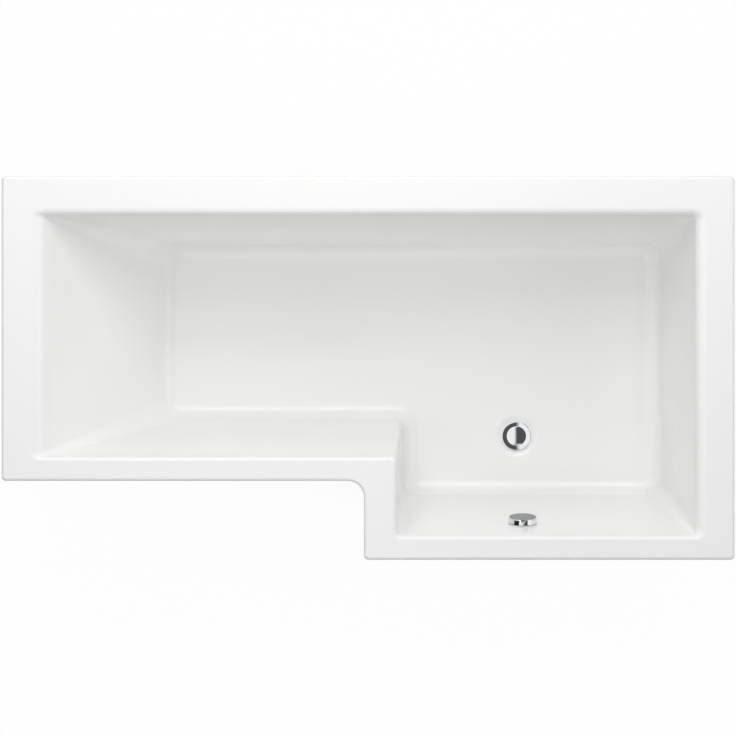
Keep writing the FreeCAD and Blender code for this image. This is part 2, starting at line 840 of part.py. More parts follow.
def trap_nut():
    collar_radius = outlet_tail_radius + trap_collar_wall
    thread_length = trap_collar_height - trap_nut_gap
    across_flats = 2 * (collar_radius + trap_nut_wall)
    nut = flats_nut(plastic_nut_sides, across_flats, thread_length + trap_nut_lip, outlet_tail_radius)
    nut = nut.cut(Part.makeCylinder(collar_radius, thread_length))
    return nut.translate(on_waste(trap_top + trap_nut_gap))


def outlet_nut():
    across_flats = 2 * (outlet_socket_radius + outlet_nut_wall)
    nut = flats_nut(plastic_nut_sides, across_flats, outlet_nut_length, outlet_socket_radius)
    start = on_outlet(outlet_stub_end - outlet_nut_length / 2)
    nut.Placement = Placement(start, Rotation(Vector(1, 0, 0), -90))
    return nut


def outlet_spigot():
    start = on_outlet(outlet_stub_end)
    shoulder = on_outlet(outlet_stub_end + outlet_nut_length / 2)
    end = shoulder + Vector(0, spigot_length, 0)
    spigot = rod(outlet_socket_radius, start, shoulder).fuse(rod(outlet_radius, shoulder, end))
    return spigot.cut(rod(outlet_bore_radius, start, end))


# Hose: rides down the outside of the front wall and turns under the floor to the waste
hose_bore = hose_radius - hose_rib_depth - hose_wall
hose_inlet_z = waste_top - hose_inlet_drop
cup_outer_radius = cup_radius + cup_wall


def hose_inlet(reach):
    return Vector(waste_x, waste_y - reach, hose_inlet_z)


def hose_outlet(reach):
    return on_overflow(0, -reach, hose_spigot_offset)


hose_start = hose_outlet(overflow_collar_radius + hose_end_gap)
hose_end = hose_inlet(bowl_outer_radius + hose_end_gap)
hose_way = (hose_outlet(1) - hose_outlet(0)).normalize()
hose_corner = hose_start + hose_way * ((hose_end.z - hose_start.z) / hose_way.z)
hose_bend = hose_way.getAngle(Vector(0, 1, 0))
hose_bend_reach = hose_bend_radius * math.tan(hose_bend / 2)
hose_first_run = (hose_corner - hose_start).Length - hose_bend_reach
hose_arc_length = hose_bend_radius * hose_bend
hose_length = hose_first_run + hose_arc_length + (hose_end - hose_corner).Length - hose_bend_reach
hose_bend_start = hose_start + hose_way * hose_first_run
hose_bend_centre = hose_bend_start + Vector(0, -hose_way.z, hose_way.y) * hose_bend_radius


def hose_circle(distance, radius):
    """Circle of the hose at a distance along its middle line, with its X axis always along the bath."""
    if distance <= hose_first_run:
        middle, way = hose_start + hose_way * distance, hose_way
    elif distance <= hose_first_run + hose_arc_length:
        turn = Rotation(Vector(1, 0, 0), math.degrees((distance - hose_first_run) / hose_bend_radius))
        spoke = turn.multVec(hose_bend_start - hose_bend_centre)
        middle, way = hose_bend_centre + spoke, turn.multVec(hose_way)
    else:
        middle, way = hose_end - Vector(0, hose_length - distance, 0), Vector(0, 1, 0)
    circle = Part.Circle(Vector(), up, radius).toShape()
    circle.Placement = Placement(middle, Rotation(Vector(1, 0, 0), Vector(), way, "ZXY"))
    return Part.Wire(circle)


def overflow_hose():
    valley = hose_radius - hose_rib_depth
    ribbed = hose_length - 2 * hose_cuff_length
    ribs = round(ribbed / hose_rib_pitch)
    pitch = ribbed / ribs
    flank_share = (1 - hose_crest_share - hose_valley_share) / 2
    steps = [(0, valley), (hose_valley_share, valley), (hose_valley_share + flank_share, hose_radius)]
    steps.append((1 - flank_share, hose_radius))
    circles = [hose_circle(0, hose_radius), hose_circle(hose_cuff_length, hose_radius)]
    for i in range(ribs):
        start = hose_cuff_length + (i + flank_share / 2) * pitch
        circles += [hose_circle(start + share * pitch, radius) for share, radius in steps]
    circles.append(hose_circle(hose_length, hose_radius))
    hose = Part.makeLoft(circles, True, True)
    arc_middle = hose_circle(hose_first_run + hose_arc_length / 2, hose_bore).CenterOfMass
    arc_end = hose_circle(hose_first_run + hose_arc_length, hose_bore).CenterOfMass
    line = Part.Wire([
        Part.LineSegment(hose_start, hose_bend_start).toShape(),
        Part.Arc(hose_bend_start, arc_middle, arc_end).toShape(),
        Part.LineSegment(arc_end, hose_end).toShape()])
    return hose.cut(line.makePipeShell([hose_circle(0, hose_bore)], True, False))


def hose_nut(start, way):
    nut = flats_nut(plastic_nut_sides, 2 * (hose_radius + hose_nut_wall), hose_nut_length, hose_radius)
    nut.Placement = Placement(start, Rotation(Vector(1, 0, 0), Vector(), way, "ZXY"))
    return nut


keep("waste_top_gasket", washer(
    flange_radius - gasket_margin, tail_hole_radius, dish_top, flange_low, on_waste(0)))
keep("waste_bottom_gasket", washer(
    waste_collar_radius - gasket_margin, tail_hole_radius, waste_top, dish_bottom, on_waste(0)))
keep("waste_flange", waste_flange())
keep("waste_body", waste_body())
keep("plug", plug())
keep("plug_seal", washer(
    tail_bore - plug_seal_gap, plug_boss_radius, plug_low - plug_seal_thickness, plug_low, on_waste(0)))
keep("lift_lever", lift_lever())
keep("lever_pin", rod(pin_radius, *pin_ends()))
keep("cable_core_end", cable_core_end())
keep("cable_gland", cable_gland())
keep("trap_body", trap_body())
keep("trap_nut", trap_nut())
keep("outlet_nut", outlet_nut())
keep("outlet_spigot", outlet_spigot())
keep("overflow_hose", overflow_hose())
keep("hose_nut_top", hose_nut(hose_start, hose_way))
keep("hose_nut_bottom", hose_nut(hose_end, Vector(0, -1, 0)))


# Overflow: each piece is made in the overflow's own frame and then set on the wall
collar_start = shell_wall + overflow_gasket_thickness
collar_end = collar_start + overflow_collar_height
cup_end = collar_start + cup_depth
cup_floor = cup_end - cup_wall
knob_back = -knob_wall_gap
knob_face = knob_back - knob_length
knob_inner_face = knob_face + knob_wall
knob_inner_radius = knob_radius - knob_skirt_wall
ring_radius = knob_inner_radius - rosette_ring_gap
bridge_end = bridge_start + bridge_thickness
drum_start = cup_end + drum_side_gap
drum_end = drum_start + drum_width
drum_middle = (drum_start + drum_end) / 2
box_end = drum_end + drum_side_gap
box_radius = drum_radius + box_gap
cable_x = core_travel / math.radians(knob_turn)
groove_radius = cable_x - core_radius - contact_gap
sheath_end_y = -(box_radius + box_wall)


def along_wall(x, z, y_start, y_end, radius):
    return rod(radius, Vector(x, y_start, z), Vector(x, y_end, z))


def straight(radius, x, z_start, z_end):
    return rod(radius, Vector(x, 0, z_start), Vector(x, 0, z_end))


def on_wall(shape):
    shape.Placement = overflow_place.multiply(shape.Placement)
    return shape


def knob_spindle():
    hub_end = knob_back - knob_hub_gap
    spindle = straight(spindle_radius, 0, knob_inner_face, drum_end)
    for start, end in ((knob_inner_face, hub_end), (drum_start, drum_end)):
        low_middle = Vector(0, spindle_flat + spindle_radius, start)
        spindle = spindle.cut(bar(2 * spindle_radius, 2 * spindle_radius, end - start, low_middle))
    return spindle


def overflow_knob():
    hub_end = knob_back - knob_hub_gap
    draft = math.radians(knob_draft)
    face_radius = knob_radius - knob_length * math.tan(draft)
    half = (math.pi / 2 + draft) / 2
    reach = knob_edge_radius / math.tan(half)
    inset = knob_edge_radius / math.sin(half) - knob_edge_radius
    edge_middle = (face_radius - inset * math.cos(half), knob_face + inset * math.sin(half))
    edge_end = (face_radius + reach * math.sin(draft), knob_face + reach * math.cos(draft))
    profile = [
        (0, knob_face), (face_radius - reach, knob_face), (edge_middle, edge_end),
        (knob_radius, knob_back), (knob_inner_radius, knob_back), (knob_inner_radius, knob_inner_face),
        (knob_hub_radius, knob_inner_face), (knob_hub_radius, hub_end), (0, hub_end)]
    knob = turned(profile).cut(knob_spindle())
    rise = knob_radius - notch_depth
    notch = flat_face([
        Vector(-notch_width / 2, rise, knob_face), Vector(notch_width / 2, rise, knob_face),
        Vector(0, rise, knob_back)])
    return knob.cut(notch.extrude(Vector(0, 2 * notch_depth, 0))).removeSplitter()


def overflow_rosette():
    ring_start = -rosette_plate - rosette_ring_height
    ring_bore = ring_radius - rosette_ring_wall
    neck_bore = neck_radius - neck_wall
    profile = [
        (neck_bore, -rosette_plate), (ring_bore, -rosette_plate), (ring_bore, ring_start),
        (ring_radius, ring_start), (ring_radius, -rosette_plate), (rosette_radius, -rosette_plate),
        (rosette_radius, 0), (neck_radius, 0), (neck_radius, collar_end), (neck_bore, collar_end)]
    rosette = turned(profile)
    bridge = bar(2 * neck_radius, bridge_width, bridge_thickness, Vector(0, 0, bridge_start))
    bridge = bridge.common(straight(neck_radius - neck_wall / 2, 0, bridge_start, bridge_end))
    rosette = rosette.fuse(bridge)
    for i in range(rosette_slots):
        slot = bar(2 * rosette_ring_wall, rosette_slot_width, rosette_slot_height,
                   Vector(ring_radius - rosette_ring_wall / 2, 0, -rosette_plate - rosette_slot_height))
        rosette = rosette.cut(slot.rotate(Vector(0, 0, 0), up, 360 * i / rosette_slots))
    rosette = rosette.cut(straight(spindle_radius + spindle_gap, 0, bridge_start, bridge_end))
    for way in (-1, 1):
        hole = straight(screw_radius + screw_hole_gap, way * screw_spread, bridge_start, bridge_end)
        rosette = rosette.cut(hole)
    return rosette


def overflow_screws():
    screws = []
    for way in (-1, 1):
        x = way * screw_spread
        head = straight(screw_head_radius, x, bridge_start - screw_head_height, bridge_start)
        screws.append(head.fuse(straight(screw_radius, x, bridge_start, bridge_start + screw_length)))
    return Part.makeCompound(screws)


def overflow_body():
    profile = [
        (neck_radius, collar_start), (overflow_collar_radius, collar_start),
        (overflow_collar_radius, collar_end), (cup_outer_radius, collar_end), (cup_outer_radius, cup_end),
        (0, cup_end), (0, cup_floor), (cup_radius, cup_floor), (cup_radius, collar_end),
        (neck_radius, collar_end)]
    body = turned(profile)
    body = body.fuse(washer(box_radius + box_wall, box_radius, cup_end, box_end))
    body = body.fuse(straight(bush_radius, 0, cup_floor - bush_length / 2, cup_end))
    for way in (-1, 1):
        post = straight(post_radius, way * screw_spread, bridge_end, cup_end)
        body = body.fuse(post)
        tip = bridge_start + screw_length
        body = body.cut(straight(screw_radius, way * screw_spread, bridge_end, tip))
    spigot_end = -(overflow_collar_radius + hose_spigot_length)
    spigot = along_wall(0, hose_spigot_offset, -cup_radius / 2, spigot_end, hose_bore)
    body = body.fuse(spigot.cut(straight(cup_radius, 0, collar_end, cup_floor)))
    bore = hose_bore - hose_spigot_wall
    body = body.cut(along_wall(0, hose_spigot_offset, -cup_radius / 2, spigot_end, bore))
    boss_end = sheath_end_y - cable_boss_length
    boss = along_wall(cable_x, drum_middle, 0, boss_end, sheath_radius + cable_boss_wall)
    body = body.fuse(boss.cut(straight(box_radius, 0, cup_end, box_end)))
    body = body.cut(along_wall(cable_x, drum_middle, 0, boss_end, sheath_radius))
    return body.cut(straight(spindle_radius + spindle_gap, 0, 0, cup_end)).removeSplitter()


def cable_drum():
    low, high = drum_middle - drum_groove_width / 2, drum_middle + drum_groove_width / 2
    profile = [
        (0, drum_start), (drum_radius, drum_start), (drum_radius, low), (groove_radius, low),
        (groove_radius, high), (drum_radius, high), (drum_radius, drum_end), (0, drum_end)]
    return turned(profile).cut(knob_spindle())


def cable_box_cover():
    return straight(box_radius + box_wall, 0, box_end, box_end + cover_thickness)


# Control cable: a sheath with its core, from the drum box down the wall and round to the waste
def rounded_route(points, share):
    """Straight runs joined by tangent arcs, each arc as large as a share of its shorter run allows."""
    edges = []
    here = points[0]
    for before, corner, after in zip(points, points[1:], points[2:]):
        back, ahead = before - corner, after - corner
        turn = math.pi - back.getAngle(ahead)
        reach = share * min(back.Length, ahead.Length)
        radius = reach / math.tan(turn / 2)
        print("cable bend radius %.1f" % radius)
        back.normalize()
        ahead.normalize()
        start, end = corner + back * reach, corner + ahead * reach
        gap = radius / math.cos(turn / 2) - radius
        edges.append(Part.LineSegment(here, start).toShape())
        edges.append(Part.Arc(start, corner + (back + ahead).normalize() * gap, end).toShape())
        here = end
    edges.append(Part.LineSegment(here, points[-1]).toShape())
    return Part.Wire(edges)


def control_cable():
    start = on_overflow(cable_x, sheath_end_y, drum_middle)
    down = on_overflow(cable_x, sheath_end_y - 1, drum_middle) - start
    corner = start + down * ((cable_turn_height - start.z) / down.z)
    side_x = port_end + cable_side_reach
    front = Vector(side_x, waste_y - cable_front_reach, core_axis_z + cable_front_rise)
    side = Vector(side_x, waste_y, core_axis_z)
    line = rounded_route([start, corner, front, side, on_core(sheath_end_x)], cable_bend_share)
    ring = Part.Wire(Part.makeCircle(sheath_radius, start, corner - start))
    sheath = line.makePipeShell([ring], True, False)
    print("cable length %.1f" % line.Length)
    print("cable volume over section times length %.4f"
          % (sheath.Volume / (math.pi * sheath_radius ** 2 * line.Length)))
    drum_core = rod(core_radius, on_overflow(cable_x, 0, drum_middle), start)
    return sheath.fuse(drum_core).fuse(rod(core_radius, on_core(core_tip_x), on_core(sheath_end_x)))


keep("overflow_rosette", on_wall(overflow_rosette()))
keep("overflow_gasket", on_wall(washer(
    overflow_collar_radius - overflow_gasket_margin, overflow_hole_radius, shell_wall, collar_start)))
keep("overflow_body", on_wall(overflow_body()))
keep("overflow_screws", on_wall(overflow_screws()))
keep("overflow_knob", on_wall(overflow_knob()))
keep("knob_spindle", on_wall(knob_spindle()))
keep("cable_drum", on_wall(cable_drum()))
keep("cable_box_cover", on_wall(cable_box_cover()))
keep("control_cable", control_cable())
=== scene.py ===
import json
import math

import bmesh
import bpy
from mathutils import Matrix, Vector


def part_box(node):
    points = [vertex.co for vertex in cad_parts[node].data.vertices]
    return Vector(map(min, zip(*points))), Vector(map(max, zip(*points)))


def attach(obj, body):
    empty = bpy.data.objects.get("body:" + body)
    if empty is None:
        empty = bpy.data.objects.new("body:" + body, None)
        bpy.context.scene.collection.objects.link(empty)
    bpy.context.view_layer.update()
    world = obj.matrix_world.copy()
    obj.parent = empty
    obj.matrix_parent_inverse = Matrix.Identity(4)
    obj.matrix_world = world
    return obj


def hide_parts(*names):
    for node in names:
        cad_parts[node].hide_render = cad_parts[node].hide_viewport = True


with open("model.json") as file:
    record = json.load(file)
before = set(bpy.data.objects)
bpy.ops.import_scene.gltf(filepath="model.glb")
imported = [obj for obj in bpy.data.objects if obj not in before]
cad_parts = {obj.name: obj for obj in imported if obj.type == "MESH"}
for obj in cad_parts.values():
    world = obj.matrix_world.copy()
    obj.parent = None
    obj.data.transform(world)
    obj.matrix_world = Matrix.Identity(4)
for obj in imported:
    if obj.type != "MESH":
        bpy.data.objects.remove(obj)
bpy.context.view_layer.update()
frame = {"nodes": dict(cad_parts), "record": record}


# Bath shell: one sheet of white acrylic, drawn by vacuum into a mould and trimmed round its skirt.
# Its hidden side is stiffened with chopped glass strands sprayed on in resin, which sets rough.
# Up-facing and upright surfaces are the bare acrylic.
acrylic_white = (0.86, 0.86, 0.855)
acrylic_bright = (0.88, 0.88, 0.875)
acrylic_cloud = 0.4
acrylic_roughness = (0.20, 0.24)
acrylic_gloss_patch = 0.15
acrylic_wave = 0.25
acrylic_wave_share = 0.1
acrylic_ior = 1.49
resin_pale = (0.74, 0.72, 0.65)
resin_thin = (0.62, 0.60, 0.51)
resin_patch = 0.12
resin_roughness = (0.45, 0.7)
resin_grain = 0.02
strand_white = (0.82, 0.81, 0.76)
strand_length = 0.04
strand_width = 0.0022
strand_turns = ((0.0, 0.3, 0.2), (0.9, 0.2, 1.2), (0.3, 1.1, 2.3))
strand_levels = (0.5, 0.75)
strand_relief = 0.0008
under_slope = (-0.03, -0.01)
weld_reach = 1e-6


def start_finish(name):
    """New material with its node tree and its surface shader."""
    material = bpy.data.materials.new(name)
    material.use_nodes = True
    tree = material.node_tree
    return material, tree, tree.nodes["Principled BSDF"]


def place(tree, kind, settings=None, inputs=None):
    """New node with some of its settings and sockets set."""
    made = tree.nodes.new(kind)
    for name, value in (settings or {}).items():
        setattr(made, name, value)
    for name, value in (inputs or {}).items():
        made.inputs[name].default_value = value
    return made


def spread(tree, value, low, high, from_low=0.3, from_high=0.7):
    """Stretch a pattern's middle range out between two levels."""
    levels = {"From Min": from_low, "From Max": from_high, "To Min": low, "To Max": high}
    ranged = place(tree, "ShaderNodeMapRange", inputs=levels)
    tree.links.new(value, ranged.inputs["Value"])
    return ranged.outputs["Result"]


def in_place(tree, stretch=(1, 1, 1)):
    """The piece's own coordinates, stretched along its axes."""
    where = place(tree, "ShaderNodeTexCoord")
    mapping = place(tree, "ShaderNodeMapping", inputs={"Scale": stretch})
    tree.links.new(where.outputs["Object"], mapping.inputs["Vector"])
    return mapping.outputs["Vector"]


def mottle(tree, size, detail=3.0, stretch=(1, 1, 1)):
    """Soft noise whose blotches are about one size across, in metres."""
    noise = place(tree, "ShaderNodeTexNoise", inputs={"Scale": 1 / size, "Detail": detail})
    tree.links.new(in_place(tree, stretch), noise.inputs["Vector"])
    return noise.outputs["Fac"]


def mix_colours(tree, share, first, second):
    """Blend two colours, each a triple or another node's output."""
    # Sockets of this node share their names, so each is picked by its number
    mix = place(tree, "ShaderNodeMix", {"data_type": "RGBA"})
    tree.links.new(share, mix.inputs[0])
    for socket, colour in ((mix.inputs[6], first), (mix.inputs[7], second)):
        if isinstance(colour, tuple):
            socket.default_value = (*colour, 1)
        else:
            tree.links.new(colour, socket)
    return mix.outputs[2]


def mix_values(tree, share, first, second):
    """Blend two numbers, each another node's output."""
    mix = place(tree, "ShaderNodeMix")
    tree.links.new(share, mix.inputs[0])
    tree.links.new(first, mix.inputs[2])
    tree.links.new(second, mix.inputs[3])
    return mix.outputs[0]


def larger_of(tree, first, second):
    """The larger of two nodes' numbers, point by point."""
    larger = place(tree, "ShaderNodeMath", {"operation": "MAXIMUM"})
    tree.links.new(first, larger.inputs[0])
    tree.links.new(second, larger.inputs[1])
    return larger.outputs[0]


def raise_bump(tree, shader, height, depth):
    """Light a surface as if a pattern stood out of it by a depth, in metres."""
    bump = place(tree, "ShaderNodeBump", inputs={"Strength": 1.0, "Distance": depth})
    tree.links.new(height, bump.inputs["Height"])
    tree.links.new(bump.outputs["Normal"], shader.inputs["Normal"])


def chopped_strands(tree):
    """Short glass strands that lie every way, as a pattern from 0 in the resin to 1 on a strand."""
    layers = []
    for turn in strand_turns:
        where = place(tree, "ShaderNodeTexCoord")
        size = (strand_length, strand_width, strand_width)
        lie = place(tree, "ShaderNodeMapping", {"vector_type": "TEXTURE"}, {"Rotation": turn, "Scale": size})
        tree.links.new(where.outputs["Object"], lie.inputs["Vector"])
        streaks = place(tree, "ShaderNodeTexNoise", inputs={"Scale": 1.0, "Detail": 1.0})
        tree.links.new(lie.outputs["Vector"], streaks.inputs["Vector"])
        layers.append(streaks.outputs["Fac"])
    laid = layers[0]
    for layer in layers[1:]:
        laid = larger_of(tree, laid, layer)
    return spread(tree, laid, 0.0, 1.0, *strand_levels)


def acrylic_over_fibre():
    """Polished acrylic, and sprayed resin with its strands wherever the surface faces down."""
    material, tree, shader = start_finish("acrylic_over_fibre")
    where = place(tree, "ShaderNodeTexCoord")
    facing = place(tree, "ShaderNodeSeparateXYZ")
    tree.links.new(where.outputs["Normal"], facing.inputs[0])
    under = spread(tree, facing.outputs["Z"], 1.0, 0.0, *under_slope)
    acrylic = mix_colours(tree, mottle(tree, acrylic_cloud), acrylic_white, acrylic_bright)
    strands = chopped_strands(tree)
    sprayed = mix_colours(tree, mottle(tree, resin_patch), resin_thin, resin_pale)
    resin = mix_colours(tree, strands, sprayed, strand_white)
    tree.links.new(mix_colours(tree, under, acrylic, resin), shader.inputs["Base Color"])
    polish = spread(tree, mottle(tree, acrylic_gloss_patch), *acrylic_roughness)
    rough = spread(tree, mottle(tree, resin_grain), *resin_roughness)
    tree.links.new(mix_values(tree, under, polish, rough), shader.inputs["Roughness"])
    drawn = spread(tree, mottle(tree, acrylic_wave, detail=1.0), 0.0, acrylic_wave_share, 0.0, 1.0)
    raise_bump(tree, shader, mix_values(tree, under, drawn, strands), strand_relief)
    shader.inputs["IOR"].default_value = acrylic_ior
    return material


def welded(node):
    """A CAD node's form with its triangles joined up, so that light can run evenly over its curves."""
    form = bmesh.new()
    form.from_mesh(frame["nodes"][node].data)
    bmesh.ops.remove_doubles(form, verts=form.verts, dist=weld_reach)
    return form


def fit_piece(name, form, material, slot, *nodes, crease=35.0):
    """Make a shaped form a piece, smooth up to a crease, that stands for CAD nodes and moves as they do."""
    for face in form.faces:
        face.smooth = True
    for edge in form.edges:
        edge.smooth = edge.calc_face_angle(0.0) < math.radians(crease)
    mesh = bpy.data.meshes.new(name)
    form.to_mesh(mesh)
    form.free()
    mesh.materials.append(material)
    piece = bpy.data.objects.new(name, mesh)
    bpy.context.scene.collection.objects.link(piece)
    carried = frame["record"]["behaviour"]["bodies"].items()
    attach(piece, next(body for body, held in carried if nodes[0] in held))
    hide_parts(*nodes)
    return piece


def even_light(piece):
    """Shade each face by its size, so that a flat stays flat beside a rounded edge."""
    weighted = piece.modifiers.new("even_light", "WEIGHTED_NORMAL")
    weighted.keep_sharp = True
    return piece


even_light(fit_piece("acrylic_shell", welded("bath_shell"), acrylic_over_fibre(), "acrylic", "bath_shell"))


# Base board: moisture-proof chipboard, sawn to shape and laid under the floor of the well while the
# resin is wet, so that it carries the weight to the rails. Its flakes show on its faces and edges.
flake_pale = (0.62, 0.47, 0.30)
flake_mid = (0.47, 0.33, 0.19)
flake_dark = (0.30, 0.20, 0.11)
flake_size = 0.006
flake_lie = (1, 0.5, 2.5)
flake_specks = (0.8, 0.95)
flake_roughness = (0.6, 0.85)
flake_relief = 0.0002
saw_ease = 0.0008
ease_angle = 40.0


def chipboard():
    """Pressed wood flakes of three tones, some of them dark specks."""
    material, tree, shader = start_finish("chipboard")
    flakes = place(tree, "ShaderNodeTexVoronoi", inputs={"Scale": 1 / flake_size})
    tree.links.new(in_place(tree, flake_lie), flakes.inputs["Vector"])
    shade = place(tree, "ShaderNodeSeparateColor")
    tree.links.new(flakes.outputs["Color"], shade.inputs[0])
    wood = mix_colours(tree, shade.outputs["Red"], flake_mid, flake_pale)
    specks = spread(tree, shade.outputs["Green"], 0.0, 1.0, *flake_specks)
    tree.links.new(mix_colours(tree, specks, wood, flake_dark), shader.inputs["Base Color"])
    dull = spread(tree, shade.outputs["Blue"], *flake_roughness, 0.0, 1.0)
    tree.links.new(dull, shader.inputs["Roughness"])
    raise_bump(tree, shader, shade.outputs["Red"], flake_relief)
    return material


def eased(piece, width):
    """Take the sharpness off a piece's edges, as its saw, press or mould leaves them."""
    rounded = piece.modifiers.new("eased_edges", "BEVEL")
    rounded.limit_method = "ANGLE"
    rounded.angle_limit = math.radians(ease_angle)
    rounded.width = width
    rounded.segments = 2
    return even_light(piece)


eased(fit_piece("base_panel", welded("base_board"), chipboard(), "chipboard", "base_board"), saw_ease)


# Support rails: steel strip folded to a channel and galvanised, which leaves a faint spangle. Each
# is held up to the board by three pan-head screws with a cross recess, driven from below.
zinc_bright = (0.66, 0.68, 0.70)
zinc_dull = (0.50, 0.52, 0.55)
spangle_size = 0.009
zinc_roughness = (0.32, 0.48)
zinc_grain = 0.0015
zinc_relief = 0.00004
screw_spacing = 0.03
screw_sides = 24
crown_radius = 0.0030
shoulder_radius = 0.0042
head_radius = 0.0046
shank_radius = 0.0021
tip_radius = 0.00042
crown_height = 0.0006
shoulder_height = 0.0009
edge_height = 0.0015
tip_length = 0.0015
recess_half_width = 0.00055
recess_depth = 0.0016
recess_taper = 0.8


def zinc_coat():
    """Galvanised steel, whose zinc sets in crystals of slightly different tone and sheen."""
    material, tree, shader = start_finish("zinc_coat")
    crystals = place(tree, "ShaderNodeTexVoronoi", inputs={"Scale": 1 / spangle_size})
    tree.links.new(in_place(tree), crystals.inputs["Vector"])
    shade = place(tree, "ShaderNodeSeparateColor")
    tree.links.new(crystals.outputs["Color"], shade.inputs[0])
    tone = mix_colours(tree, shade.outputs["Red"], zinc_dull, zinc_bright)
    tree.links.new(tone, shader.inputs["Base Color"])
    shader.inputs["Metallic"].default_value = 1.0
    sheen = spread(tree, shade.outputs["Green"], *zinc_roughness, 0.0, 1.0)
    tree.links.new(sheen, shader.inputs["Roughness"])
    raise_bump(tree, shader, mottle(tree, zinc_grain), zinc_relief)
    return material


def places_of(node, spacing):
    """Lowest and highest corner of each solid of a CAD node, whose solids stand a spacing or more apart."""
    solids = []
    for vertex in frame["nodes"][node].data.vertices:
        near = [solid for solid in solids if (solid[0] - vertex.co).length < spacing]
        if near:
            near[0].append(vertex.co.copy())
        else:
            solids.append([vertex.co.copy()])
    corners = []
    for solid in solids:
        low = Vector([min(point[axis] for point in solid) for axis in range(3)])
        high = Vector([max(point[axis] for point in solid) for axis in range(3)])
        corners.append((low, high))
    return corners


def grow_ring(form, edges, size, lift):
    """Draw a ring of edges on by a lift along the upright axis, at a new size, and give the new ring."""
    grown = bmesh.ops.extrude_edge_only(form, edges=edges)["geom"]
    points = [item for item in grown if isinstance(item, bmesh.types.BMVert)]
    bmesh.ops.scale(form, vec=(size, size, 1), verts=points)
    bmesh.ops.translate(form, vec=(0, 0, lift), verts=points)
    return [item for item in grown if isinstance(item, bmesh.types.BMEdge)]


def pan_head_screw(length):
    """Screw with its head down on the origin: a crown with a cross pressed in, its rim, seat and shank."""
    form = bmesh.new()
    bmesh.ops.create_circle(form, cap_ends=True, segments=screw_sides, radius=crown_radius)
    for way in ((1, 0, 0), (-1, 0, 0), (0, 1, 0), (0, -1, 0)):
        everything = form.verts[:] + form.edges[:] + form.faces[:]
        side = Vector(way) * recess_half_width
        bmesh.ops.bisect_plane(form, geom=everything, plane_co=side, plane_no=way)
    ring = [edge for edge in form.edges if edge.is_boundary]
    arms = []
    for face in form.faces:
        middle = face.calc_center_median()
        if min(abs(middle.x), abs(middle.y)) < recess_half_width:
            arms.append(face)
    pressed = bmesh.ops.extrude_face_region(form, geom=arms)["geom"]
    sunk = [item for item in pressed if isinstance(item, bmesh.types.BMVert)]
    bmesh.ops.translate(form, vec=(0, 0, recess_depth), verts=sunk)
    bmesh.ops.scale(form, vec=(recess_taper, recess_taper, 1), verts=sunk)
    bmesh.ops.delete(form, geom=[face for face in arms if face.is_valid], context="FACES")
    shank_length = length - crown_height - shoulder_height - edge_height - tip_length
    outline = (
        (shoulder_radius, crown_height), (head_radius, shoulder_height), (head_radius, edge_height),
        (shank_radius, 0), (shank_radius, shank_length), (tip_radius, tip_length),
    )
    reached = crown_radius
    for radius, lift in outline:
        ring = grow_ring(form, ring, radius / reached, lift)
        reached = radius
    bmesh.ops.holes_fill(form, edges=ring)
    bmesh.ops.recalc_face_normals(form, faces=form.faces)
    return form


def at_places(form, places):
    """Copies of a form, each with its foot on a place's lowest face and in its middle."""
    pattern = form.verts[:] + form.edges[:] + form.faces[:]
    for low, high in places:
        copied = bmesh.ops.duplicate(form, geom=pattern)["geom"]
        points = [item for item in copied if isinstance(item, bmesh.types.BMVert)]
        bmesh.ops.translate(form, vec=((low.x + high.x) / 2, (low.y + high.y) / 2, low.z), verts=points)
    bmesh.ops.delete(form, geom=[item for item in pattern if isinstance(item, bmesh.types.BMVert)])
    return form


zinc = zinc_coat()
for rail in ("support_rail_head", "support_rail_middle", "support_rail_shower"):
    even_light(fit_piece("channel_" + rail, welded(rail), zinc, "zinc_steel", rail))
screw_places = places_of("rail_screws", screw_spacing)
screws = pan_head_screw((screw_places[0][1] - screw_places[0][0]).z)
fit_piece("pan_head_screws", at_places(screws, screw_places), zinc, "zinc_steel", "rail_screws")


# Levelling feet: a length of zinc-plated threaded rod moulded into a black plastic pad. Two hexagon
# nuts on each rod clamp the rail between them and set its height.
foot_count = 6
thread_pitch = 0.00175
thread_depth = 0.0011
thread_steps = 18
thread_spare_turns = 2
# One pitch of the thread: share of its depth below the crest, and share of the pitch
thread_profile = ((1, 0.0), (1, 0.25), (0, 0.56), (0, 0.69), (1, 1.0))
pad_bevel = 0.0012
pad_round_angle = 25.0
pad_edge = 0.006
pad_shoulder = 0.013
pad_step = 0.002
neck_radius = 0.013
nut_ease = 0.0007
foot_black = (0.018, 0.018, 0.019)
foot_black_worn = (0.030, 0.030, 0.031)
foot_roughness = (0.42, 0.6)
mould_cloud = 0.03
mould_gloss_patch = 0.008
mould_grain = 0.0008
mould_relief = 0.00005


def moulded(name, deep, pale, roughness):
    """Injection-moulded plastic: a faint cloudiness, and the fine grain of its tool."""
    material, tree, shader = start_finish(name)
    tree.links.new(mix_colours(tree, mottle(tree, mould_cloud), deep, pale), shader.inputs["Base Color"])
    gloss = spread(tree, mottle(tree, mould_gloss_patch, detail=4.0), *roughness)
    tree.links.new(gloss, shader.inputs["Roughness"])
    raise_bump(tree, shader, mottle(tree, mould_grain), mould_relief)
    return material


def turned(outline, steps=64):
    """Form turned about the upright axis from a half outline of (reach, height) corners."""
    form = bmesh.new()
    chain = [form.verts.new((reach, 0, height)) for reach, height in outline]
    edges = [form.edges.new(pair) for pair in zip(chain, chain[1:])]
    bmesh.ops.spin(
        form, geom=chain + edges, axis=(0, 0, 1), cent=(0, 0, 0), angle=math.tau, steps=steps, use_merge=True
    )
    bmesh.ops.remove_doubles(form, verts=form.verts, dist=weld_reach)
    bmesh.ops.recalc_face_normals(form, faces=form.faces)
    return form


